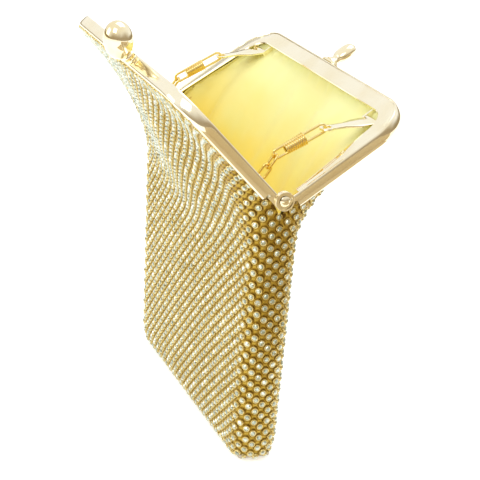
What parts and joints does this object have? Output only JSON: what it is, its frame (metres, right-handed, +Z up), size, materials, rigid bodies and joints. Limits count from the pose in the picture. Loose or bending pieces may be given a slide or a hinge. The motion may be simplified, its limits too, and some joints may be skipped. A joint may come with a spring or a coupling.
{
  "type": "evening bag",
  "caption": "Metal-framed evening bag with crystal-studded mesh, satin lining, kiss-lock clasp and chain handle, standing open.",
  "frame": {"origin": "middle of the base face", "axes": "+Z up, +X towards the right-hand hinge, +Y towards the rear frame half"},
  "size_m": [0.1518, 0.1169, 0.1711],
  "materials": {
    "frame_gold": "polished",
    "strip_metal": "satin",
    "hinge_gold": "polished",
    "clasp_gold": "polished",
    "tab_gold": "polished",
    "chain_gold": "polished",
    "crystal_mesh": "crystal-studded mesh",
    "lining_satin": "satin",
    "stiffener_board": "fibre board"
  },
  "bodies": {
    "bag": {"mesh_body": "crystal_mesh", "lining_body": "lining_satin", "base_stiffener": "stiffener_board", "right_chain_run": "chain_gold", "left_chain_run": "chain_gold"},
    "front_half": {"front_frame": "frame_gold", "front_retainer_strip": "strip_metal", "front_mesh_flap": "crystal_mesh", "front_lining_flap": "lining_satin", "front_lock_base": "clasp_gold", "front_lock_knob": "clasp_gold"},
    "rear_half": {"rear_frame": "frame_gold", "rear_retainer_strip": "strip_metal", "rear_mesh_flap": "crystal_mesh", "rear_lining_flap": "lining_satin", "rear_lock_base": "clasp_gold", "rear_lock_knob": "clasp_gold", "right_hinge_rivet": "hinge_gold", "right_hinge_washer": "hinge_gold", "right_tab_bracket": "tab_gold", "right_tab_pin": "hinge_gold", "left_hinge_rivet": "hinge_gold", "left_hinge_washer": "hinge_gold", "left_tab_bracket": "tab_gold", "left_tab_pin": "hinge_gold"},
    "right_tab": {"right_chain_tab": "tab_gold"},
    "right_link": {"right_end_link": "chain_gold", "right_link_sleeve": "chain_gold"},
    "left_tab": {"left_chain_tab": "tab_gold"},
    "left_link": {"left_end_link": "chain_gold", "left_link_sleeve": "chain_gold"}
  },
  "joints": [
    {"name": "front_hinge", "type": "hinge", "parent": "bag", "child": "front_half", "pos_m": [0, 0, 0.115], "axis": [-1, 0, 0], "range_deg": [0, 44], "deforming": ["front_mesh_flap", "front_lining_flap"]},
    {"name": "rear_hinge", "type": "hinge", "parent": "bag", "child": "rear_half", "pos_m": [0, 0, 0.115], "axis": [1, 0, 0], "range_deg": [0, 55], "deforming": ["rear_mesh_flap", "rear_lining_flap"]},
    {"name": "right_tab_pivot", "type": "hinge", "parent": "rear_half", "child": "right_tab", "pos_m": [0.0595, 0.0407, 0.14057], "axis": [1, 0, 0], "range_deg": [0, 17.6], "deforming": ["right_chain_run"]},
    {"name": "right_link_pivot", "type": "hinge", "parent": "right_tab", "child": "right_link", "pos_m": [0.0595, 0.01946, 0.13833], "axis": [1, 0, 0], "range_deg": [-40, 10]},
    {"name": "left_tab_pivot", "type": "hinge", "parent": "rear_half", "child": "left_tab", "pos_m": [-0.0595, 0.0407, 0.14057], "axis": [1, 0, 0], "range_deg": [0, 17.6], "deforming": ["left_chain_run"]},
    {"name": "left_link_pivot", "type": "hinge", "parent": "left_tab", "child": "left_link", "pos_m": [-0.0595, 0.01946, 0.13833], "axis": [1, 0, 0], "range_deg": [-40, 10]}
  ],
  "couplings": [
    {"joint": "rear_hinge", "follows": "front_hinge", "ratio": 1.25},
    {"joint": "right_tab_pivot", "follows": "front_hinge", "ratio": 0.4},
    {"joint": "left_tab_pivot", "follows": "front_hinge", "ratio": 0.4}
  ]
}
